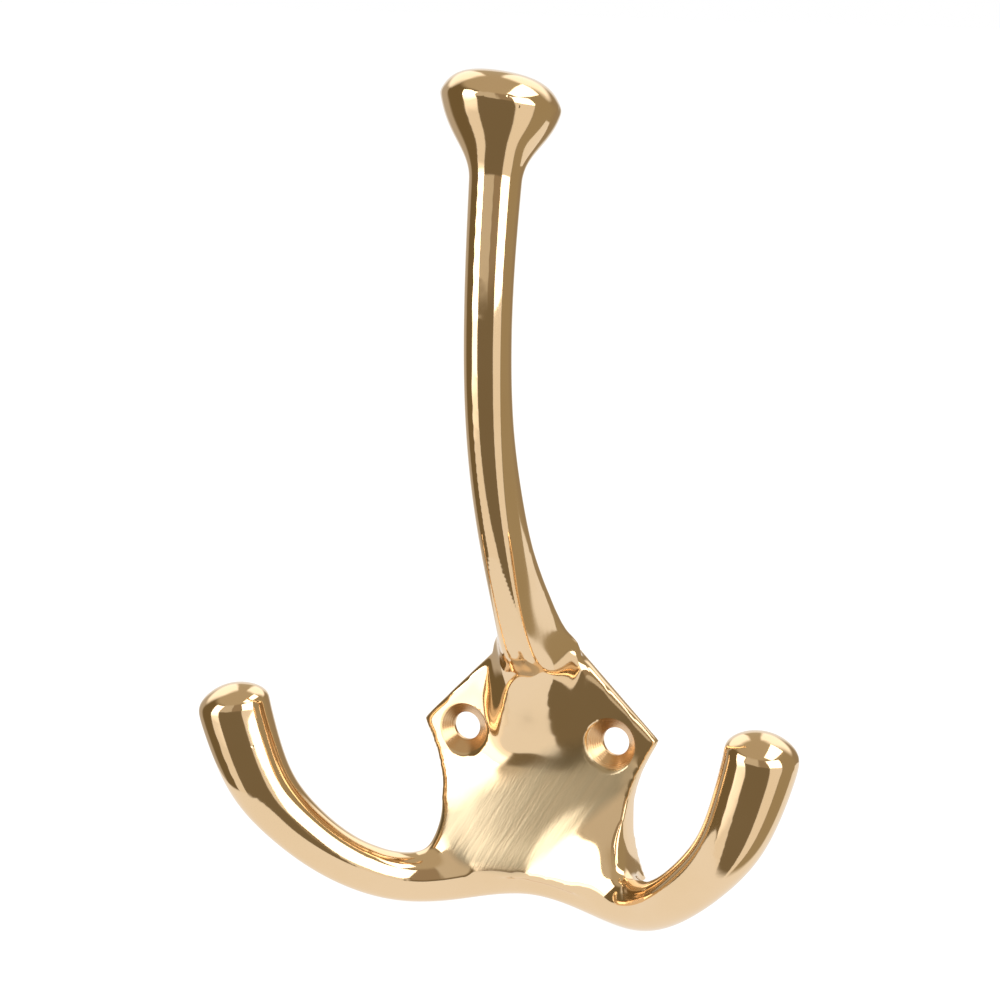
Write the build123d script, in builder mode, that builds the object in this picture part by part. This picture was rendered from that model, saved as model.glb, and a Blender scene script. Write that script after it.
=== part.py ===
from build123d import *
from math import cos, radians, sin
import os

# Triple wall hook, cast in one piece: a shield-shaped back plate, a tall upper arm that ends in a
# domed knob, and two lower arms that sweep out, forward and up to bull-nose tips.
# Millimetres. The wall is the plane y = 0, the hook stands out from it towards -Y, +Z is up, and
# the left half mirrors the right. The origin is on the wall, midway between the two screw holes.

# Screw holes, countersunk for a number 8 wood screw.
hole_spacing = 27.8
hole_diameter = 4.9
countersink_diameter = 8.9
countersink_angle = 90

# Outline of the back plate: half-widths from the centre line and heights from the holes.
apex_height = 22.4
corner_half_width = 21.9
corner_height = 0.8
corner_round = 1.2
waist_half_width = 17.4
waist_height = -12.5
foot_half_width = 19.8
foot_height = -24.0

# Thickness of the plate beside its outline, level by level, and how far the middle stands proud.
apex_thickness = 1.6
hole_thickness = 1.65
waist_thickness = 2.4
crook_height = -18.2
crook_thickness = 5.5
swell_height = -23.0
foot_thickness = 7.9
crown_height = 1.7

# Lower arms: centre line as reach sideways, depth from the wall and height, and round section.
bar_centre_depth = 3.9
bar_centre_height = -23.9
bar_radius = 4.0
root_reach = 14.0
root_depth = 5.6
root_height = -25.5
root_radius = 4.5
leave_reach = 23.6
leave_depth = 11.2
leave_height = -25.3
leave_radius = 4.3
sweep_reach = 31.6
sweep_depth = 16.8
sweep_height = -21.0
sweep_radius = 4.4
bend_reach = 38.8
bend_depth = 20.2
bend_height = -14.4
bend_radius = 4.95
rise_reach = 43.9
rise_depth = 22.2
rise_height = -6.8
rise_radius = 5.7
tip_reach = 48.0
tip_depth = 23.1
tip_height = 5.8
tip_radius = 6.35
tip_lean_out_angle = 13
tip_lean_forward_angle = 4
tip_dome_height = 3.6
crook_fillet = 3.5

# Upper arm: the skirt on the plate, then centre line and half-width of the section up to the neck.
skirt_bottom = 5.2
skirt_shoulder_half_width = 6.1
skirt_side = 9.4
skirt_half_width = 11.6
skirt_heel_half_width = 7.0
skirt_heel = 14.2
skirt_top = 15.6
skirt_sink = 0.6
flank_rise_angle = 30
flank_depth = 3.4
flank_height = 14.4
flank_half_width = 8.4
flank_front = 5.4
flank_back = 4.4
collar_depth = 5.4
collar_height = 17.8
collar_half_width = 6.3
collar_front = 5.2
collar_back = 4.4
shin_depth = 10.8
shin_height = 25.2
shin_half_width = 4.95
shin_front = 4.9
shin_back = 4.4
bow_depth = 16.7
bow_height = 34.4
bow_half_width = 4.4
bow_front = 4.5
bow_back = 4.2
shaft_depth = 21.6
shaft_height = 46.0
shaft_half_width = 4.15
shaft_front = 4.2
shaft_back = 4.1
belly_depth = 24.6
belly_height = 58.5
belly_half_width = 4.0
crest_depth = 25.3
crest_height = 72.0
crest_half_width = 4.0
upper_depth = 24.3
upper_height = 86.0
upper_half_width = 4.15
neck_depth = 22.5
neck_height = 98.0
neck_radius = 4.25
skirt_fillet = 3.0

# Knob on top: a trumpet flare with a crisp rim and a domed top, leaning back to the wall.
knob_lean_angle = 9
flare_height = 12.4
rim_radius = 10.1
rim_round = 0.4
dome_height = 4.9

os.makedirs("parts", exist_ok=True)


# Back plate: a block whose crowned front swells downward, cut to the shield outline.
block_half_width = corner_half_width + crown_height


def block_slice(height, side):
    """Level slice of the block: flat against the wall, arched in front."""
    with BuildSketch(Plane.XY.offset(height)) as level:
        with BuildLine():
            ThreePointArc((-block_half_width, -side), (0, -side - crown_height), (block_half_width, -side))
            Polyline(
                (block_half_width, -side), (block_half_width, 0), (-block_half_width, 0), (-block_half_width, -side)
            )
        make_face()
    return level.sketch


block_slices = [
    block_slice(apex_height, apex_thickness),
    block_slice(apex_height / 2, apex_thickness),
    block_slice(0, hole_thickness),
    block_slice(waist_height, waist_thickness),
    block_slice(crook_height, crook_thickness),
    block_slice(swell_height, foot_thickness),
    block_slice(root_height - bar_radius, foot_thickness),
]

with BuildPart() as plate:
    with BuildSketch(Plane.XZ):
        with BuildLine():
            Line((0, apex_height), (corner_half_width, corner_height))
            Spline(
                (corner_half_width, corner_height),
                (waist_half_width, waist_height),
                (foot_half_width, foot_height),
                tangents=[(-0.62, -1), (0.75, -1)],
            )
            Line((foot_half_width, foot_height), (root_reach, root_height))
            Spline(
                (root_reach, root_height),
                (0, bar_centre_height),
                tangents=[(-1, 0.1), (-1, 0)],
            )
            mirror(about=Plane.YZ)
        outline = make_face()
        corners = outline.vertices().group_by(Axis.X)
        fillet(corners[0] + corners[-1], corner_round)
    extrude(amount=2 * (foot_thickness + crown_height))
    loft(block_slices, mode=Mode.INTERSECT)


# Lower arms: one bar of round sections from tip to tip, through the foot of the plate.
right_stations = [
    (root_reach, root_depth, root_height, root_radius),
    (leave_reach, leave_depth, leave_height, leave_radius),
    (sweep_reach, sweep_depth, sweep_height, sweep_radius),
    (bend_reach, bend_depth, bend_height, bend_radius),
    (rise_reach, rise_depth, rise_height, rise_radius),
    (tip_reach, tip_depth, tip_height, tip_radius),
]
tip_direction = Vector(
    sin(radians(tip_lean_out_angle)),
    -sin(radians(tip_lean_forward_angle)),
    cos(radians(tip_lean_out_angle)),
).normalized()
tip = Vector(tip_reach, -tip_depth, tip_height)
crest_of_tip = tip + tip_direction * tip_dome_height

right_points = [Vector(reach, -depth, height) for reach, depth, height, radius in right_stations]
right_points.append(crest_of_tip)
right_radii = [radius for reach, depth, height, radius in right_stations] + [tip_radius]
left_points = [Vector(-point.X, point.Y, point.Z) for point in reversed(right_points)]
bar_points = left_points + [Vector(0, -bar_centre_depth, bar_centre_height)] + right_points
bar_radii = right_radii[::-1] + [bar_radius] + right_radii
with BuildLine() as bar_path:
    Spline(
        bar_points,
        tangents=[(tip_direction.X, -tip_direction.Y, -tip_direction.Z), tip_direction],
    )
bar_curve = bar_path.edge()
bar_sections = []
for point, radius in zip(bar_points, bar_radii):
    along = bar_curve % bar_curve.param_at_point(point)
    place = Plane(point, x_dir=(along.Z, 0, -along.X), z_dir=along)
    with BuildLine() as ring:
        for quarter in range(4):
            CenterArc((0, 0), radius, 90 * quarter, 90)
    bar_sections.append(make_face(ring.edges()).moved(place.location))

# What the bull-nose tips leave of the bar's ends: everything outside and above a soft dome.
tip_plane = Plane(tip, z_dir=tip_direction)
nose_side = 1.12 * tip_radius
nose_foot = -0.7 * tip_dome_height
clear = 2 * tip_radius
with BuildPart() as tip_waste:
    with BuildSketch(Plane(tip, x_dir=tip_plane.x_dir, z_dir=-tip_plane.y_dir)):
        with BuildLine():
            Spline(
                (0, tip_dome_height),
                (0.74 * tip_radius, 0.72 * tip_dome_height),
                (tip_radius, 0),
                (nose_side, nose_foot),
                tangents=[(1, 0), (0.12, -1)],
            )
            Polyline(
                (nose_side, nose_foot), (clear, nose_foot), (clear, clear), (0, clear), (0, tip_dome_height)
            )
        make_face()
    revolve(axis=Axis(tip, tip_direction))
    mirror(about=Plane.YZ)

with BuildPart() as lower_arms:
    loft(bar_sections, clean=False)
    add(tip_waste.part, mode=Mode.SUBTRACT)
    split(bisect_by=Plane.XZ, keep=Keep.TOP)


# Upper arm: sections with a flattened front that grows rounder as the arm rises.
def closed_section(place, front, shoulder, widest, heel, back):
    """Smooth closed section, symmetric about its own Y axis, from five points of its right half."""
    right_half = [shoulder, widest, heel]
    left_half = [(-x, y) for x, y in reversed(right_half)]
    with BuildLine() as section:
        Spline([front, *right_half, back, *left_half], periodic=True)
    return make_face(section.edges()).moved(place.location)


def arm_section(point, along, front, back, half_width, flatness):
    """Section of the arm across its direction; flatness 1 has the full facet, 0 is round."""
    widest = -0.12 * back * flatness
    return closed_section(
        Plane(point, x_dir=(1, 0, 0), z_dir=-along),
        (0, front),
        (half_width * (0.707 - 0.17 * flatness), front * (0.707 + 0.19 * flatness)),
        (half_width, widest),
        (0.707 * half_width, widest - 0.707 * (back + widest)),
        (0, -back),
    )


lean = radians(knob_lean_angle)
knob_direction = Vector(0, sin(lean), cos(lean))
neck = Vector(0, -neck_depth, neck_height)
# Each station: depth, height, reach of its front and back from the centre, half-width, flatness.
arm_stations = [
    (flank_depth, flank_height, flank_front, flank_back, flank_half_width, 1.0),
    (collar_depth, collar_height, collar_front, collar_back, collar_half_width, 1.0),
    (shin_depth, shin_height, shin_front, shin_back, shin_half_width, 1.0),
    (bow_depth, bow_height, bow_front, bow_back, bow_half_width, 0.8),
    (shaft_depth, shaft_height, shaft_front, shaft_back, shaft_half_width, 0.5),
    (belly_depth, belly_height, belly_half_width, belly_half_width, belly_half_width, 0.2),
    (crest_depth, crest_height, crest_half_width, crest_half_width, crest_half_width, 0.0),
    (upper_depth, upper_height, upper_half_width, upper_half_width, upper_half_width, 0.0),
]
arm_points = [Vector(0, -depth, height) for depth, height, *rest in arm_stations]
skirt_plane = Plane((0, -skirt_sink, 0), x_dir=(1, 0, 0), z_dir=(0, 1, 0))
arm_sections = [
    closed_section(
        skirt_plane,
        (0, -skirt_bottom),
        (skirt_shoulder_half_width, -skirt_bottom),
        (skirt_half_width, -skirt_side),
        (skirt_heel_half_width, -skirt_heel),
        (0, -skirt_top),
    ),
]
along = Vector(0, -cos(radians(flank_rise_angle)), sin(radians(flank_rise_angle)))
for index, (depth, height, front, back, half_width, flatness) in enumerate(arm_stations):
    if index > 0:
        before = arm_points[index - 1]
        after = [*arm_points, neck][index + 1]
        along = (after - before).normalized()
    arm_sections.append(arm_section(arm_points[index], along, front, back, half_width, flatness))
# The neck is a true circle, so that the knob's flare carries on from it without a step.
neck_plane = Plane(neck, x_dir=(0, -cos(lean), sin(lean)), z_dir=knob_direction)
with BuildLine() as neck_ring:
    CenterArc((0, 0), neck_radius, 0, 360)
arm_sections.append(make_face(neck_ring.edges()).moved(neck_plane.location))

with BuildPart() as upper_arm:
    loft(arm_sections, clean=False)

with BuildPart() as knob:
    with BuildSketch(Plane(neck, x_dir=(1, 0, 0), z_dir=(0, -cos(lean), sin(lean)))):
        with BuildLine():
            Spline(
                (neck_radius, 0),
                (0.53 * rim_radius, 0.24 * flare_height),
                (0.85 * rim_radius, 0.64 * flare_height),
                (rim_radius, flare_height),
                tangents=[(0.04, 1), (0.12, 1)],
            )
            Spline(
                (rim_radius, flare_height),
                (0.74 * rim_radius, flare_height + 0.74 * dome_height),
                (0, flare_height + dome_height),
                tangents=[(-0.4, 1), (-1, 0)],
            )
            Polyline((0, flare_height + dome_height), (0, 0), (neck_radius, 0))
        rim = make_face().vertices().sort_by(Axis.X)[-1]
        fillet(rim, rim_round)
    revolve(axis=Axis(neck, knob_direction))


# The whole casting: the skirt and the arms run into the plate with fillets, then the screw holes.
# Each countersink reaches its full diameter where the plate's crowned front lies at the hole's axis.
hole_face = hole_thickness + crown_height * (1 - (hole_spacing / 2 / block_half_width) ** 2)
with BuildPart() as hook_casting:
    add(plate.part)
    add(upper_arm.part)
    skirt_toes = []
    for side in (-1, 1):
        toe = Vector(side * skirt_shoulder_half_width, -hole_thickness - crown_height, skirt_bottom)
        skirt_toes.append(hook_casting.edges().sort_by_distance(toe)[0])
    fillet(skirt_toes, skirt_fillet)
    add(lower_arms.part)
    crooks = []
    for side in (-1, 1):
        crook = Vector(side * foot_half_width, -crook_thickness, (crook_height + foot_height) / 2)
        crooks.append(hook_casting.edges().sort_by_distance(crook)[0])
    fillet(crooks, crook_fillet)
    add(knob.part)
    with Locations(Plane.XZ.offset(hole_face)):
        with GridLocations(hole_spacing, 1, 2, 1):
            CounterSinkHole(
                hole_diameter / 2,
                countersink_diameter / 2,
                counter_sink_angle=countersink_angle,
            )

hook_casting.part.label = "hook_casting"
export_step(hook_casting.part, "parts/hook_casting.step")
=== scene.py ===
import math

import bpy
from mathutils import Matrix, Vector


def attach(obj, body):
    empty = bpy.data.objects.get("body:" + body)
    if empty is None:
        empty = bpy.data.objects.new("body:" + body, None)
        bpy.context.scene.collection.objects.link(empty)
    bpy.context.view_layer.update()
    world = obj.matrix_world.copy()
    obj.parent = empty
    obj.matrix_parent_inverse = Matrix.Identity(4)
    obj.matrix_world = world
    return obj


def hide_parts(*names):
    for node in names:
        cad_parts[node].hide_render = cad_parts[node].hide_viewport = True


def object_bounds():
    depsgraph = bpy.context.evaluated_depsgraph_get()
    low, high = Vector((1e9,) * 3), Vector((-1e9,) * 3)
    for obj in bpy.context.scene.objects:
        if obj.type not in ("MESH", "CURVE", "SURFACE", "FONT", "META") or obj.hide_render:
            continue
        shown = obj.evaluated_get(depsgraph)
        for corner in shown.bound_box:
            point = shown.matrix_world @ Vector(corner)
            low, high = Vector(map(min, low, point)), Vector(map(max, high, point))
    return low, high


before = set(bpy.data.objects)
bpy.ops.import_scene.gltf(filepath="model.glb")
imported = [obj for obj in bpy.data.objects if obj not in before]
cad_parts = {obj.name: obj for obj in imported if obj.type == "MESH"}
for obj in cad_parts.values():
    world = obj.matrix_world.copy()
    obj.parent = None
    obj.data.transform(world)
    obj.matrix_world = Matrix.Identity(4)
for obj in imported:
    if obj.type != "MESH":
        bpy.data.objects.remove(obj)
cad_box = [list(corner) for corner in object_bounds()]
scene = bpy.context.scene
mm = 0.001

# The camera stands in front of the hook, 23 degrees round to its right and 10 degrees above it,
# and looks at a point a little left of the upper arm, level with the arm's lower half.
camera_azimuth = math.radians(23)
camera_elevation = math.radians(10)
camera_roll = math.radians(0.45)
camera_distance = 650 * mm
camera_target = Vector((-8.344, 0.0, 40.197)) * mm
camera_lens = 136.0
sensor_width = 36.0
nearest_seen = 10 * mm

toward_camera = Vector((math.sin(camera_azimuth), -math.cos(camera_azimuth), 0.0))
level_right = Vector((math.cos(camera_azimuth), math.sin(camera_azimuth), 0.0))
back = toward_camera * math.cos(camera_elevation) + Vector((0.0, 0.0, math.sin(camera_elevation)))
level_up = back.cross(level_right)
right = math.cos(camera_roll) * level_right + math.sin(camera_roll) * level_up
up = math.cos(camera_roll) * level_up - math.sin(camera_roll) * level_right
camera_data = bpy.data.cameras.new("camera")
camera_data.lens = camera_lens
camera_data.sensor_width = sensor_width
camera_data.clip_start = nearest_seen
camera = bpy.data.objects.new("camera", camera_data)
scene.collection.objects.link(camera)
place = Matrix((right, up, back)).transposed().to_4x4()
place.translation = camera_target + camera_distance * back
camera.matrix_world = place
scene.camera = camera


# The casting is one piece of solid brass: a shield-shaped back plate, an upper arm with a domed
# knob, and two lower arms in one sweep. Each form is drawn out on its own; then all of them are
# melted into one skin, and the skin is polished until the joins between them are soft fillets.
voxel = 0.40 * mm
fitting_rounds = 12


def control_rows(rows):
    """Points of a cubic cage whose smooth surface passes through the given rows of points."""
    cage = [list(row) for row in rows]
    for _ in range(fitting_rounds):
        for index in range(1, len(rows) - 1):
            for step in range(len(rows[index])):
                before, here, after = (cage[index + hop][step] for hop in (-1, 0, 1))
                cage[index][step] = here + rows[index][step] - (before + 4 * here + after) / 6
    return cage


def control_ring(ring):
    """Points of a closed cubic cage whose smooth surface passes through a ring of points."""
    count = len(ring)
    cage = list(ring)
    for _ in range(fitting_rounds):
        for step in range(count):
            smooth = (cage[step - 1] + 4 * cage[step] + cage[(step + 1) % count]) / 6
            cage[step] = cage[step] + ring[step] - smooth
    return cage


def draw_out(name, rings, levels=4):
    """A closed form drawn out through rings of points, smooth along and around."""
    cage = control_rows([control_ring(ring) for ring in rings])
    steps = len(rings[0])
    merge_gap = 0.0001 * mm
    bpy.ops.object.select_all(action="DESELECT")
    bpy.ops.mesh.primitive_grid_add(x_subdivisions=steps, y_subdivisions=len(rings) - 1, size=mm)
    form = bpy.context.object
    form.name = name
    for vertex in form.data.vertices:
        row, column = divmod(vertex.index, steps + 1)
        vertex.co = cage[row][column % steps] * mm
    bpy.ops.object.mode_set(mode="EDIT")
    bpy.ops.mesh.select_all(action="SELECT")
    bpy.ops.mesh.remove_doubles(threshold=merge_gap)
    bpy.ops.mesh.select_all(action="DESELECT")
    bpy.ops.mesh.select_non_manifold()
    bpy.ops.transform.edge_crease(value=1.0)
    bpy.ops.mesh.fill_holes(sides=0)
    bpy.ops.mesh.select_all(action="SELECT")
    bpy.ops.mesh.normals_make_consistent(inside=False)
    bpy.ops.object.mode_set(mode="OBJECT")
    rounding = form.modifiers.new("rounding", "SUBSURF")
    rounding.levels = rounding.render_levels = levels
    rounding.boundary_smooth = "PRESERVE_CORNERS"
    bpy.ops.object.modifier_apply(modifier=rounding.name)
    return form


# Lower arms: reach sideways, depth from the wall, height and radius, from the middle to the tip.
arm_line = [
    (0.0, 3.9, -23.9, 4.0),
    (14.0, 5.6, -25.5, 4.5),
    (23.6, 11.2, -25.3, 4.3),
    (31.6, 16.8, -21.0, 4.4),
    (38.8, 20.2, -14.4, 4.95),
    (43.9, 22.2, -6.8, 5.7),
    (47.2, 22.9, 2.4, 6.2),
    (48.0, 23.1, 5.8, 6.3),
]
# The casting is a little lopsided: its left tip stands lower than its right one.
tip_heights = {-1: -0.5, 1: 0.4}
arm_bottom = -26.0
arm_rise = 32.0
bar_points = 16
stations = []
for side in (-1, 1):
    half = []
    for reach, depth, height, radius in arm_line[1:]:
        lift = tip_heights[side] * max(0.0, (height - arm_bottom) / arm_rise)
        half.append((Vector((side * reach, -depth, height + lift)), radius))
    if side < 0:
        reach, depth, height, radius = arm_line[0]
        half = half[::-1] + [(Vector((reach, -depth, height)), radius)]
    stations += half
bar_rings = []
for index, (point, radius) in enumerate(stations):
    before = stations[max(index - 1, 0)][0]
    after = stations[min(index + 1, len(stations) - 1)][0]
    along = (after - before).normalized()
    across = Vector((along.z, 0.0, -along.x)).normalized()
    third = along.cross(across)
    bar_rings.append([
        point + radius * (math.cos(angle) * across + math.sin(angle) * third)
        for angle in (math.tau * step / bar_points for step in range(bar_points))
    ])
bar = draw_out("lower_arms", bar_rings, levels=3)
forms = [bar]

# Bull-nose tips: a shallow dome on the end of each arm, with a soft rim.
tip_dome = 3.6
tip_radius = 6.28
dome_share, rim_share, rim_power = 0.68, 0.32, 8
splay = math.radians(13)
forward_tilt = math.radians(4)
tip_reach, tip_depth, tip_height, _ = arm_line[-1]
for side in (-1, 1):
    tip = Vector((side * tip_reach, -tip_depth, tip_height + tip_heights[side]))
    lean = Vector((side * math.sin(splay), -math.sin(forward_tilt), math.cos(splay)))
    turn = Vector((0.0, 0.0, 1.0)).rotation_difference(lean)
    bpy.ops.object.select_all(action="DESELECT")
    bpy.ops.mesh.primitive_uv_sphere_add(segments=96, ring_count=64, radius=1.0)
    nose = bpy.context.object
    for vertex in nose.data.vertices:
        spread = min(1.0, math.hypot(vertex.co.x, vertex.co.y))
        rise = dome_share * (1.0 - spread ** 2) + rim_share * math.sqrt(1.0 - spread ** rim_power)
        rise = math.copysign(rise, vertex.co.z)
        laid = Vector((tip_radius * vertex.co.x, tip_radius * vertex.co.y, tip_dome * rise))
        vertex.co = (tip + turn @ laid) * mm
    forms.append(nose)

# Upper arm, from the skirt on the plate up to the neck. Each row has the depth and height of its
# centre, the reach to the front and to the rear, the half-width, and how flat its front is between
# two ridges, from 1 at the plate to 0 where it is round.
upper_line = [
    (3.4, 14.4, 6.0, 4.4, 8.4, 1.0),
    (5.4, 17.8, 6.0, 4.4, 6.3, 1.0),
    (10.8, 25.2, 5.7, 4.4, 4.95, 1.0),
    (16.7, 34.4, 4.5, 4.2, 4.4, 0.8),
    (21.6, 46.0, 4.2, 4.1, 4.15, 0.5),
    (24.6, 58.5, 4.0, 4.0, 4.0, 0.2),
    (25.3, 72.0, 4.0, 4.0, 4.0, 0.0),
    (24.3, 86.0, 4.15, 4.15, 4.15, 0.0),
    (22.5, 98.0, 4.4, 4.4, 4.4, 0.0),
    (21.6, 103.6, 4.5, 4.5, 4.5, 0.0),
]


def ring_of(plane, right_half, front, rear):
    """Closed ring of points, symmetric about the middle, laid on a plane."""
    left_half = [(-x, y) for x, y in reversed(right_half)]
    origin, across, upward = plane
    points = [(0.0, front), *right_half, (0.0, rear), *left_half]
    return [origin + x * across + y * upward for x, y in points]


sideways = Vector((1.0, 0.0, 0.0))
root_slope = math.radians(30)
diagonal = 0.707
ridge_inward, ridge_forward, widest_drop = 0.17, 0.19, 0.12
# The skirt's two lowest rings lie on the plate: its toes stand out left, right and below.
upper_rings = [
    ring_of(
        (Vector((0.0, -3.0, 0.0)), sideways, Vector((0.0, 0.0, 1.0))),
        [(7.2, -4.0), (10.6, 7.0), (6.6, 13.0)],
        -8.2,
        14.8,
    ),
    ring_of(
        (Vector((0.0, -4.35, 0.0)), sideways, Vector((0.0, 0.07, 0.9975))),
        [(5.9, -0.8), (7.9, 9.0), (5.8, 13.6)],
        -0.8,
        15.0,
    ),
]
centres = [Vector((0.0, -depth, height)) for depth, height, *_ in upper_line]
for index, (depth, height, front, rear, half_width, flatness) in enumerate(upper_line):
    after = centres[min(index + 1, len(centres) - 1)]
    before = centres[max(index - 1, 0)]
    along = (after - before).normalized()
    if index == 0:
        along = Vector((0.0, -math.cos(root_slope), math.sin(root_slope)))
    frontward = sideways.cross(along)
    widest = -widest_drop * rear * flatness
    upper_rings.append(ring_of(
        (centres[index], sideways, frontward),
        [
            (
                half_width * (diagonal - ridge_inward * flatness),
                front * (diagonal + ridge_forward * flatness),
            ),
            (half_width, widest),
            (diagonal * half_width, widest - diagonal * (rear + widest)),
        ],
        front,
        -rear,
    ))
upper = draw_out("upper_arm", upper_rings)
forms.append(upper)

# Knob: turned like a trumpet mouth, with a crisp rim and a domed top, leaning back to the wall.
knob_lean = math.radians(9)
neck = Vector((0.0, -22.5, 97.9))
knob_curves = (
    # radius and height of each curve's four handles: underside, flare and dome
    (0.0, -1.0, 1.5, -1.0, 2.9, -1.0, 4.3, -1.0),
    (4.4, 0.0, 4.9, 4.5, 8.7, 6.0, 10.1, 12.4),
    (10.1, 12.4, 8.74, 15.8, 6.5, 17.3, 0.0, 17.3),
)
curve_steps = 24
profile = []
for x0, y0, x1, y1, x2, y2, x3, y3 in knob_curves:
    for step in range(curve_steps + 1):
        t = step / curve_steps
        s = 1 - t
        weights = (s ** 3, 3 * s * s * t, 3 * s * t * t, t ** 3)
        profile.append((
            sum(w * v for w, v in zip(weights, (x0, x1, x2, x3))),
            sum(w * v for w, v in zip(weights, (y0, y1, y2, y3))),
        ))
profile_mesh = bpy.data.meshes.new("knob")
profile_mesh.from_pydata(
    [(x * mm, 0.0, y * mm) for x, y in profile],
    [(i, i + 1) for i in range(len(profile) - 1)],
    [],
)
knob = bpy.data.objects.new("knob", profile_mesh)
scene.collection.objects.link(knob)
bpy.ops.object.select_all(action="DESELECT")
knob.select_set(True)
bpy.context.view_layer.objects.active = knob
bpy.ops.object.mode_set(mode="EDIT")
bpy.ops.mesh.select_all(action="SELECT")
bpy.ops.mesh.spin(steps=128, angle=math.tau, center=(0, 0, 0), axis=(0, 0, 1))
bpy.ops.mesh.select_all(action="SELECT")
seam_gap = 0.001 * mm
bpy.ops.mesh.remove_doubles(threshold=seam_gap)
bpy.ops.mesh.normals_make_consistent(inside=False)
bpy.ops.object.mode_set(mode="OBJECT")
# The rim was ground a few degrees out of square: it falls away to the right, seen by the camera.
lean_turn = Matrix.Rotation(-knob_lean, 3, "X")
slant_start, slant_run = 2.0, 9.0
rim_slant, slant_across, slant_back = 0.095, 0.92, 0.39
for vertex in knob.data.vertices:
    bend = max(0.0, min(1.0, (vertex.co.z / mm - slant_start) / slant_run))
    vertex.co.z -= rim_slant * bend * (slant_across * vertex.co.x + slant_back * vertex.co.y)
    vertex.co = lean_turn @ vertex.co + neck * mm
forms.append(knob)

# Back plate: a crowned front that swells forward at the foot, cut to the shield outline.
levels = [
    # height, front at the left edge, at the right edge and in the middle
    (22.4, 1.6, 1.6, 3.3), (11.2, 1.6, 1.6, 3.3), (0.0, 1.65, 1.75, 3.5), (-6.5, 2.4, 2.7, 4.4),
    (-12.5, 3.6, 3.9, 6.0), (-18.2, 6.4, 6.7, 7.7), (-23.0, 8.2, 8.3, 9.1), (-29.5, 8.3, 8.5, 9.3),
]
cage_levels = control_rows([[Vector(level)] for level in levels])
cage_levels = [
    Vector((33.6, 1.6, 1.6, 3.3)), *(row[0] for row in cage_levels), Vector((-36.0, 8.3, 8.5, 9.3)),
]
rows_between = 12
rows = []
for index in range(1, len(cage_levels) - 2):
    for step in range(rows_between):
        t = step / rows_between
        weights = ((1 - t) ** 3, 3 * t ** 3 - 6 * t * t + 4, -3 * t ** 3 + 3 * t * t + 3 * t + 1, t ** 3)
        rows.append(sum(
            (w * p for w, p in zip(weights, cage_levels[index - 1:index + 3])),
            Vector((0.0, 0.0, 0.0, 0.0)),
        ) / 6)
block_half_width = 23.6
crown = 1.7
bow_radius = (block_half_width ** 2 + crown ** 2) / (2 * crown)
columns = 48
block_depth = 20 * mm
crown_end, crown_run = 19.0, 9.0
# The right side of the foot is fuller than the left: a low cone of metal on top of the crown.
swell, swell_reach, swell_height, swell_radius = 2.1, 16.0, -24.0, 15.0
bpy.ops.object.select_all(action="DESELECT")
bpy.ops.mesh.primitive_grid_add(x_subdivisions=columns, y_subdivisions=len(rows) - 1, size=mm)
plate = bpy.context.object
for vertex in plate.data.vertices:
    row, column = divmod(vertex.index, columns + 1)
    x = block_half_width * (2 * column / columns - 1)
    bow = (math.sqrt(bow_radius ** 2 - x * x) - bow_radius) / crown + 1
    edge = max(0.0, min(1.0, (crown_end - abs(x)) / crown_run))
    ramp = edge * edge * (3 - 2 * edge)
    height, left_front, right_front, middle_front = rows[row]
    beside = right_front if x > 0 else left_front
    front = beside + crown * bow
    front += ramp * (middle_front - beside - crown)
    front += swell * max(0.0, 1.0 - math.hypot(x - swell_reach, height - swell_height) / swell_radius)
    vertex.co = Vector((x, -front, height)) * mm
bpy.ops.object.mode_set(mode="EDIT")
bpy.ops.mesh.select_all(action="SELECT")
bpy.ops.mesh.extrude_region_move(TRANSFORM_OT_translate={"value": (0.0, block_depth, 0.0)})
bpy.ops.transform.resize(value=(1.0, 0.0, 1.0), center_override=(0.0, 0.0, 0.0))
bpy.ops.mesh.select_all(action="SELECT")
bpy.ops.mesh.normals_make_consistent(inside=False)
bpy.ops.object.mode_set(mode="OBJECT")

# Shield outline: straight from the top point to the side corner, hollow waist, and the foot.
outline_right = [(0.0, 22.4), (21.3, 1.35), (21.7, 0.75), (21.55, 0.25)]
side_curve = [Vector((21.55, 0.25)), Vector((16.6, -7.5)), Vector((15.8, -14.5)), Vector((19.8, -24.0))]
for step in range(1, curve_steps + 1):
    t = step / curve_steps
    s = 1 - t
    point = (
        s ** 3 * side_curve[0] + 3 * s * s * t * side_curve[1]
        + 3 * s * t * t * side_curve[2] + t ** 3 * side_curve[3]
    )
    outline_right.append((point.x, point.y))
outline_right += [(14.0, -25.5), (9.0, -24.9), (4.5, -24.2), (0.0, -23.9)]
outline = outline_right + [(-x, z) for x, z in reversed(outline_right[1:-1])]
shape_mesh = bpy.data.meshes.new("shield")
shape_mesh.from_pydata([(x * mm, mm, z * mm) for x, z in outline], [], [range(len(outline))])
shield = bpy.data.objects.new("shield", shape_mesh)
scene.collection.objects.link(shield)
bpy.ops.object.select_all(action="DESELECT")
shield.select_set(True)
bpy.context.view_layer.objects.active = shield
bpy.ops.object.mode_set(mode="EDIT")
bpy.ops.mesh.select_all(action="SELECT")
bpy.ops.mesh.extrude_region_move(TRANSFORM_OT_translate={"value": (0.0, -block_depth, 0.0)})
bpy.ops.mesh.select_all(action="SELECT")
bpy.ops.mesh.normals_make_consistent(inside=False)
bpy.ops.object.mode_set(mode="OBJECT")
bpy.ops.object.select_all(action="DESELECT")
plate.select_set(True)
bpy.context.view_layer.objects.active = plate
trim = plate.modifiers.new("trim", "BOOLEAN")
trim.operation = "INTERSECT"
trim.solver = "EXACT"
trim.object = shield
bpy.ops.object.modifier_apply(modifier=trim.name)
bpy.data.objects.remove(shield)
forms.append(plate)

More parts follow.
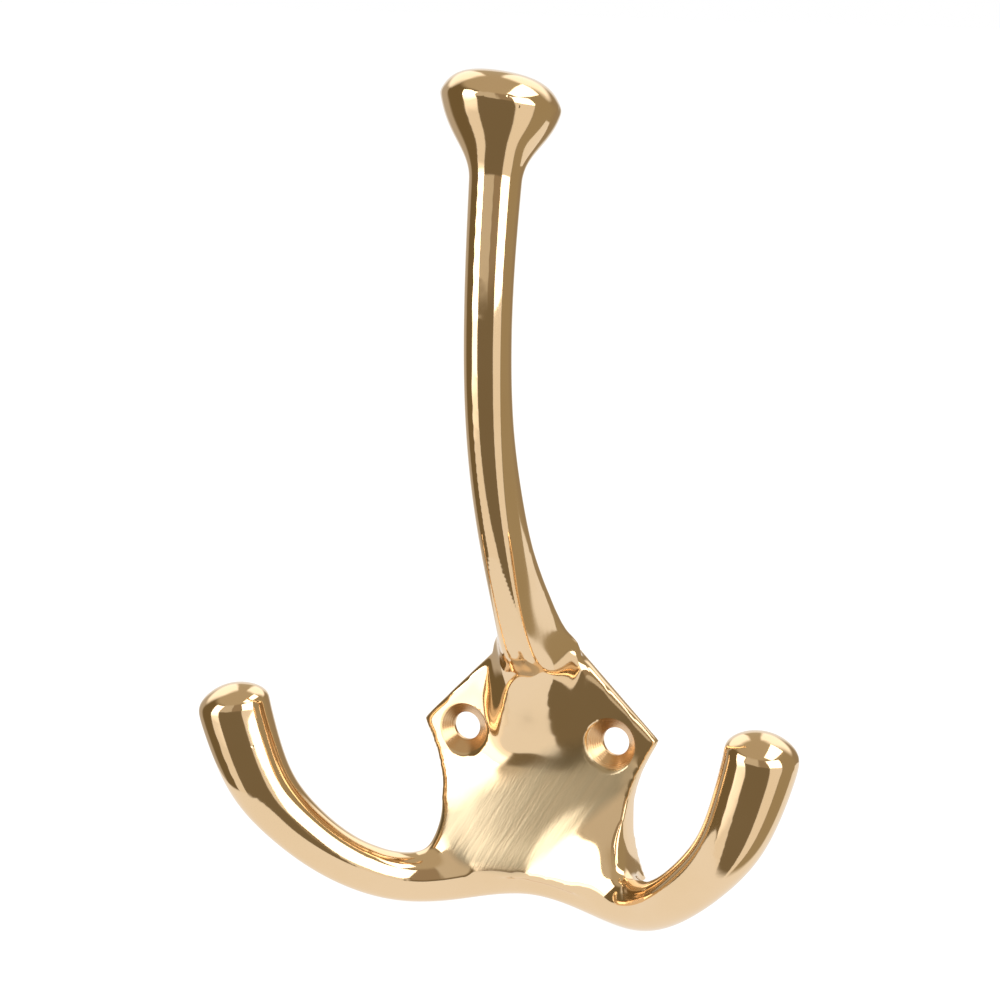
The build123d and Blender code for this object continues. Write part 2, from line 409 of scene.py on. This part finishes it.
# All the forms become one skin, flat against the wall.
bpy.ops.object.select_all(action="DESELECT")
for form in forms:
    form.select_set(True)
bpy.context.view_layer.objects.active = plate
bpy.ops.object.join()
hook = plate
hook.name = "brass_casting"
hook.data.name = "brass_casting"
melt = hook.modifiers.new("melt", "REMESH")
melt.mode = "VOXEL"
melt.voxel_size = voxel
bpy.ops.object.modifier_apply(modifier=melt.name)

# Two places are polished far more than the rest: the crooks, where the lower arms leave the foot,
# and the skirt, most of all its lower toe. Their limits are in millimetres from the middle.
crook_reach, crook_height, crook_radius = 18.0, -20.5, 8
skirt_reach, skirt_fade, skirt_bottom, skirt_top = 8.0, 6, -9.0, 20.0
skirt_near, skirt_far = 1.0, 12.0
toe_top = 6.0
skirt_polish, toe_polish = 0.18, 0.62
joins = hook.vertex_groups.new(name="joins")
for vertex in hook.data.vertices:
    x, y, z = (value / mm for value in vertex.co)
    x = abs(x)
    crook = max(0.0, 1 - abs(x - crook_reach) / crook_radius)
    crook *= max(0.0, 1 - abs(z - crook_height) / crook_radius)
    crook *= max(0.0, min(1.0, -y / 4 - 0.2))
    skirt = max(0.0, 1 - max(0.0, x - skirt_reach) / skirt_fade)
    skirt *= max(0.0, min(1.0, (z - skirt_bottom) / 4, (skirt_top - z) / 5))
    skirt *= max(0.0, min(1.0, -y - skirt_near, (skirt_far + y) / 5))
    toe = max(0.0, min(1.0, (toe_top - z) / 5))
    weight = max(min(1.0, 2 * crook), (skirt_polish + toe_polish * toe) * skirt)
    if weight > 0:
        joins.add([vertex.index], weight, "REPLACE")
turns_all_over = 16
turns_at_joins = 200
for group, turns in (("", turns_all_over), ("joins", turns_at_joins)):
    polish = hook.modifiers.new("polish", "SMOOTH")
    polish.factor = 0.5
    polish.iterations = turns
    polish.vertex_group = group
    bpy.ops.object.modifier_apply(modifier=polish.name)

# The back is ground flat, and the screw holes are drilled and countersunk after the polishing.
grinding_depth = 0.25 * mm
for vertex in hook.data.vertices:
    if vertex.co.y > -grinding_depth:
        vertex.co.y = 0.0
hole_reach = 13.9
hole_radius = 2.45
sink_radius = 4.45
sink_depth = 2.0
edge_front = 1.65
overshoot = 1.0
hole_face = edge_front + crown * (1 - (hole_reach / block_half_width) ** 2)
drill_profile = [
    (0.0, overshoot),
    (hole_radius, overshoot),
    (hole_radius, -hole_face + sink_depth),
    (sink_radius, -hole_face),
    (sink_radius + overshoot, -hole_face - overshoot),
    (0.0, -hole_face - overshoot),
]
for side in (-1, 1):
    drill_mesh = bpy.data.meshes.new("drill")
    drill_mesh.from_pydata(
        [((side * hole_reach + x) * mm, y * mm, 0.0) for x, y in drill_profile],
        [(i, i + 1) for i in range(len(drill_profile) - 1)],
        [],
    )
    drill = bpy.data.objects.new("drill", drill_mesh)
    scene.collection.objects.link(drill)
    bpy.ops.object.select_all(action="DESELECT")
    drill.select_set(True)
    bpy.context.view_layer.objects.active = drill
    bpy.ops.object.mode_set(mode="EDIT")
    bpy.ops.mesh.select_all(action="SELECT")
    bpy.ops.mesh.spin(
        steps=96, angle=math.tau, center=(side * hole_reach * mm, 0, 0), axis=(0, 1, 0)
    )
    bpy.ops.mesh.select_all(action="SELECT")
    bpy.ops.mesh.remove_doubles(threshold=seam_gap)
    bpy.ops.mesh.normals_make_consistent(inside=False)
    bpy.ops.object.mode_set(mode="OBJECT")
    bpy.ops.object.select_all(action="DESELECT")
    hook.select_set(True)
    bpy.context.view_layer.objects.active = hook
    bore = hook.modifiers.new("bore", "BOOLEAN")
    bore.operation = "DIFFERENCE"
    bore.solver = "EXACT"
    bore.object = drill
    bpy.ops.object.modifier_apply(modifier=bore.name)
    bpy.data.objects.remove(drill)

bpy.ops.object.select_all(action="DESELECT")
hook.select_set(True)
bpy.context.view_layer.objects.active = hook
crisp_edge = math.radians(43)
bpy.ops.object.shade_smooth_by_angle(angle=crisp_edge)


class Wire:
    """A shader socket that can be added, subtracted and multiplied like a number."""

    def __init__(self, tree, socket):
        self.tree = tree
        self.socket = socket

    def node(self, kind, settings, values, output=0):
        """Another node of the same tree, its settings first and then its sockets."""
        made = self.tree.nodes.new(kind)
        for name, value in settings.items():
            setattr(made, name, value)
        for name, value in values.items():
            if isinstance(value, Wire):
                self.tree.links.new(value.socket, made.inputs[name])
            else:
                made.inputs[name].default_value = value
        return Wire(self.tree, made.outputs[output])

    def sum_up(self, operation, *values):
        return self.node("ShaderNodeMath", {"operation": operation}, dict(enumerate(values)))

    def __add__(self, other):
        return self.sum_up("ADD", self, other)

    __radd__ = __add__

    def __sub__(self, other):
        return self.sum_up("SUBTRACT", self, other)

    def __rsub__(self, other):
        return self.sum_up("SUBTRACT", other, self)

    def __mul__(self, other):
        return self.sum_up("MULTIPLY", self, other)

    __rmul__ = __mul__

    def step(self, low, high):
        """0 below low, 1 above high, smooth between them."""
        settings = {"interpolation_type": "SMOOTHSTEP"}
        limits = {"Value": self, "From Min": low, "From Max": high}
        return self.node("ShaderNodeMapRange", settings, limits)


# The metal is polished cast brass: mirror bright, with a worn satin patch, coppery countersinks and a
# ground back; the satin patch's dull colour is painted shade, darker on its left. Lengths on it are in
# metres, from the middle of the plate's back.
brass = bpy.data.materials.new("polished_brass")
brass.use_nodes = True
tree = brass.node_tree
shader = tree.nodes["Principled BSDF"]
shader.inputs["Metallic"].default_value = 1.0
spot = Wire(tree, tree.nodes.new("ShaderNodeTexCoord").outputs["Object"])
parts = tree.nodes.new("ShaderNodeSeparateXYZ")
tree.links.new(spot.socket, parts.inputs[0])
x, y, z = (Wire(tree, parts.outputs[axis]) for axis in range(3))
reach = x.sum_up("ABSOLUTE", x)


def grain(scale, detail, stretch=(1.0, 1.0, 1.0), turn=0.0):
    """Cloudy pattern through the metal, from 0 to 1."""
    values = {"Vector": spot, "Rotation": (0.0, turn, 0.0), "Scale": stretch}
    laid = spot.node("ShaderNodeMapping", {"vector_type": "TEXTURE"}, values)
    return spot.node("ShaderNodeTexNoise", {}, {"Vector": laid, "Scale": scale, "Detail": detail})


# Worn satin in the middle of the plate, with fine polishing strokes that run down and outward; the same
# patch also carries painted shade in its colour below.
strokes = grain(90.0, 3.0, (0.07, 1.0, 1.0), math.radians(30))
fine_strokes = grain(260.0, 2.0, (0.08, 1.0, 1.0), math.radians(18))
ragged = 0.004 * (grain(160.0, 3.0) - 0.5)
forward = y * -1
satin = (
    forward.step(0.0020, 0.0030)
    * (1 - forward.step(0.0104, 0.0118))
    * (1 - (reach + ragged).step(0.0150, 0.0190))
    * (1 - (z - 0.55 * x + ragged).step(-0.0075, -0.0020))
    * (z - 0.93 * x + 0.5 * ragged).step(-0.0248, -0.0218)
    * (z + 0.90 * x + 0.5 * ragged).step(-0.0346, -0.0316)
    * z.step(-0.0240, -0.0215)
)
# The back is ground flat on a belt and keeps its fine straight marks.
in_front = forward.step(0.00005, 0.0001)
ground = 1 - in_front
grinding = grain(140.0, 3.0, (1.0, 1.0, 0.06))
# Countersinks, left as the tool turned them: coppery, with fine rings 0.3 mm apart.
across_hole = reach - hole_reach * mm
from_axis = across_hole * across_hole + z * z
radius = from_axis.sum_up("SQRT", from_axis)
sunk = (1 - radius.step(0.00438, 0.00446)) * (1 - forward.step(0.00306, 0.00312)) * in_front
rings = radius.sum_up("SINE", radius * 21000.0)


def tint(share, first, second):
    """One colour of metal passes into another."""
    return spot.node("ShaderNodeMix", {"data_type": "RGBA"}, {"Factor": share, 6: first, 7: second}, 2)


light_brass = (0.880, 0.652, 0.408, 1.0)
warm_brass = (0.865, 0.634, 0.385, 1.0)
worn_and_painted_shade_left = (0.36, 0.30, 0.20, 1.0)
worn_and_painted_shade_right = (0.52, 0.42, 0.27, 1.0)
copper = (0.80, 0.53, 0.29, 1.0)
clouds = grain(70.0, 3.0)
bright = tint(clouds.step(0.35, 0.65), light_brass, warm_brass)
# Painted shade over the real worn satin: the patch's colour is darkened to olive, more on the left than
# on the right.
worn_and_painted_shade = tint(x.step(-0.014, 0.006), worn_and_painted_shade_left, worn_and_painted_shade_right)
worn = satin * (0.70 + 0.30 * strokes)
tone = tint(sunk, tint(worn, bright, worn_and_painted_shade), copper)
tree.links.new(tone.socket, shader.inputs["Base Color"])
mirror = 0.055 + 0.03 * clouds
rough = mirror + satin * (0.13 + 0.07 * strokes) + 0.16 * sunk + ground * (0.16 + 0.10 * grinding)
tree.links.new(rough.socket, shader.inputs["Roughness"])

# Hand polishing leaves long soft waves, and the casting a few pinholes.
waves = grain(55.0, 1.0)
spacing = {"Vector": spot, "Scale": 170.0}
cells = spot.node("ShaderNodeTexVoronoi", {"feature": "F1"}, spacing, "Distance")
rare = grain(85.0, 0.0).step(0.60, 0.64)
pits = (1 - cells.step(0.035, 0.075)) * rare
brushing = satin * (0.16 * strokes + 0.06 * fine_strokes)
height = 1.4 * waves + brushing + 0.02 * sunk * rings - 0.25 * pits
bumps = {"Strength": 1.0, "Distance": 0.12 * mm, "Height": height}
relief = spot.node("ShaderNodeBump", {}, bumps, "Normal")
tree.links.new(relief.socket, shader.inputs["Normal"])
hook.data.materials.clear()
hook.data.materials.append(brass)
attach(hook, "root")
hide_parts("hook_casting")

# A pale floor just under the hook fills the view and keeps the hook's faint shadow. The brass
# mirrors it as a white card that ends a hand's breadth in front of the hook and slants away on
# the right; past the card's edge the metal mirrors the darker studio.
floor_size = 6.0
floor_gap = 0.05 * mm
bpy.ops.object.select_all(action="DESELECT")
bpy.ops.mesh.primitive_plane_add(size=floor_size, location=(0.0, 0.0, cad_box[0][2] - floor_gap))
floor = bpy.context.object
floor.name = "floor"
paper = bpy.data.materials.new("white_paper")
paper.use_nodes = True
tree = paper.node_tree
tree.nodes.clear()
start = Wire(tree, tree.nodes.new("ShaderNodeTexCoord").outputs["Object"])
ray = tree.nodes.new("ShaderNodeLightPath")


def reach_along(vector, direction):
    """How far a point or a ray goes along a direction."""
    settings = {"operation": "DOT_PRODUCT"}
    return vector.node("ShaderNodeVectorMath", settings, {0: vector, 1: direction}, "Value")


# The card's edges: how far it comes forward and to the left, how far to the right, and its slant.
card_depth, card_shift = 0.090, 0.44
card_left, card_right = 0.085, 0.24
slant_depth, slant_pull = 0.056, 0.45
ahead = reach_along(start, toward_camera / card_depth) + card_shift
aside = reach_along(start, level_right)
to_left = start.sum_up("MAXIMUM", aside * (-1 / card_left), 0.0)
to_left = to_left * to_left
front_edge = ahead * ahead + to_left * to_left
slant_edge = (ahead - card_shift) * (card_depth / slant_depth) + aside * (slant_pull / slant_depth)
right_edge = start.sum_up("MAXIMUM", aside * (1 / card_right), slant_edge)
beyond = start.sum_up("MAXIMUM", front_edge, right_edge).step(0.96, 1.04)
matte = start.node("ShaderNodeBsdfDiffuse", {}, {"Color": (0.92, 0.92, 0.92, 1.0)})
faint = start.node("ShaderNodeBsdfDiffuse", {}, {"Color": (0.22, 0.22, 0.22, 1.0)})
glow = start.node("ShaderNodeEmission", {}, {"Color": (1.0, 1.0, 1.0, 1.0), "Strength": 0.93})
seen = start.node("ShaderNodeAddShader", {}, {0: faint, 1: glow})
card = start.node("ShaderNodeEmission", {}, {"Color": (0.93, 0.93, 0.93, 1.0), "Strength": 1.0})
clear = start.node("ShaderNodeBsdfTransparent", {}, {})
mirrored = start.node("ShaderNodeMixShader", {}, {0: beyond, 1: card, 2: clear})
glossy_ray = Wire(tree, ray.outputs["Is Glossy Ray"])
camera_ray = Wire(tree, ray.outputs["Is Camera Ray"])
by_glossy = start.node("ShaderNodeMixShader", {}, {0: glossy_ray, 1: matte, 2: mirrored})
both = start.node("ShaderNodeMixShader", {}, {0: camera_ray, 1: by_glossy, 2: seen})
surface = tree.nodes.new("ShaderNodeOutputMaterial")
tree.links.new(both.socket, surface.inputs["Surface"])
floor.data.materials.append(paper)

# Plain soft studio light: a tall softbox on each side of the camera and one high on the right,
# in a studio that is dark behind the camera and white behind the hook.
lamp_specs = [
    # name, angle round from the camera, height angle, distance, width, height, brightness
    ("left_softbox", -65.5, 19, 1.0, 0.52, 0.74, 2.7),
    ("right_softbox", 45, 19, 1.0, 0.728, 0.74, 2.7),
    ("high_softbox", 80, 56, 1.0, 1.0, 0.40, 2.4),
]
middle = Vector((0.0, -0.015, 0.04))
for name, around, above, distance, width, height, bright in lamp_specs:
    lamp_data = bpy.data.lights.new(name, "AREA")
    lamp_data.shape = "RECTANGLE"
    lamp_data.size = width
    lamp_data.size_y = height
    lamp_data.energy = bright * math.pi * width * height
    lamp = bpy.data.objects.new(name, lamp_data)
    scene.collection.objects.link(lamp)
    around, above = math.radians(around), math.radians(above)
    aim = math.cos(above) * (math.cos(around) * toward_camera + math.sin(around) * level_right)
    aim.z = math.sin(above)
    lamp.location = middle + distance * aim
    lamp.rotation_euler = (-aim).to_track_quat("-Z", "Y").to_euler()
    lamp.visible_camera = False

world = bpy.data.worlds.new("studio")
scene.world = world
world.use_nodes = True
tree = world.node_tree
tree.nodes.clear()
heading = Wire(tree, tree.nodes.new("ShaderNodeTexCoord").outputs["Generated"])
ray = tree.nodes.new("ShaderNodeLightPath")
ahead = reach_along(heading, toward_camera)
aside = reach_along(heading, level_right)
above = reach_along(heading, Vector((0.0, 0.0, 1.0)))
round_angle = ahead.sum_up("ARCTAN2", aside, ahead) * math.degrees(1.0)
height_angle = ahead.sum_up("ARCSINE", above) * math.degrees(1.0)
turned = ahead.sum_up("ABSOLUTE", round_angle)


def blend(factor, first, second):
    """One colour passes into another."""
    values = {"Factor": factor, 6: first, 7: second}
    return heading.node("ShaderNodeMix", {"data_type": "RGBA"}, values, 2)


def between(value, low, high, soft):
    """1 between two limits and 0 outside them, with soft borders."""
    return value.step(low - soft, low + soft) * (1 - value.step(high - soft, high + soft))


# The studio, as the brass mirrors it. Angles are in degrees, round from the camera and up from
# level; each row lays its colour over what the rows above it left.
dark = (0.205, 0.170, 0.110, 1.0)
tan = (0.50, 0.44, 0.33, 1.0)
overhead = 200
upper_half = between(height_angle, 0, overhead, 3.0)
behind = turned.step(115, 140)
back_wall = behind * height_angle.step(16, 26)
low_band = between(round_angle, -80, -51, 1.5) + between(round_angle, 25, 65, 1.5)
left_low = between(round_angle, -80, -51, 1.5) * between(height_angle, -22, 2, 5.0)
room = dark
for share, colour in (
    (upper_half * between(round_angle, -50, -5, 3.0), (0.62, 0.58, 0.50, 1.0)),
    (upper_half * between(round_angle, -5, 25, 3.0), (0.34, 0.28, 0.20, 1.0)),
    (round_angle.step(60, 70), (0.38, 0.325, 0.215, 1.0)),
    (round_angle.step(110, 135), (0.34, 0.28, 0.19, 1.0)),
    (1 - round_angle.step(-86, -78), (0.18, 0.14, 0.075, 1.0)),
    (1 - round_angle.step(-130, -118), (0.50, 0.46, 0.40, 1.0)),
    (turned.step(150, 165), (0.90, 0.90, 0.90, 1.0)),
    (back_wall, (1.4, 1.4, 1.38, 1.0)),
    (back_wall * between(aside, -0.10, 0.13, 0.03), tan),
    ((height_angle - 12 * behind).step(38, 52), tan),
    (low_band * (1 - height_angle.step(0, 3)), (0.90, 0.87, 0.82, 1.0)),
    (left_low, (1.35, 1.32, 1.28, 1.0)),
    (left_low * height_angle.step(-16, -10), (2.3, 2.3, 2.3, 1.0)),
):
    room = blend(share, room, colour)
lit = heading.node("ShaderNodeBackground", {}, {"Color": room, "Strength": 1.0})
white = heading.node("ShaderNodeBackground", {}, {"Color": (1.0, 1.0, 1.0, 1.0), "Strength": 1.0})
camera_ray = Wire(tree, ray.outputs["Is Camera Ray"])
mixed = heading.node("ShaderNodeMixShader", {}, {0: camera_ray, 1: lit, 2: white})
out = tree.nodes.new("ShaderNodeOutputWorld")
tree.links.new(mixed.socket, out.inputs["Surface"])

scene.view_settings.view_transform = "Standard"
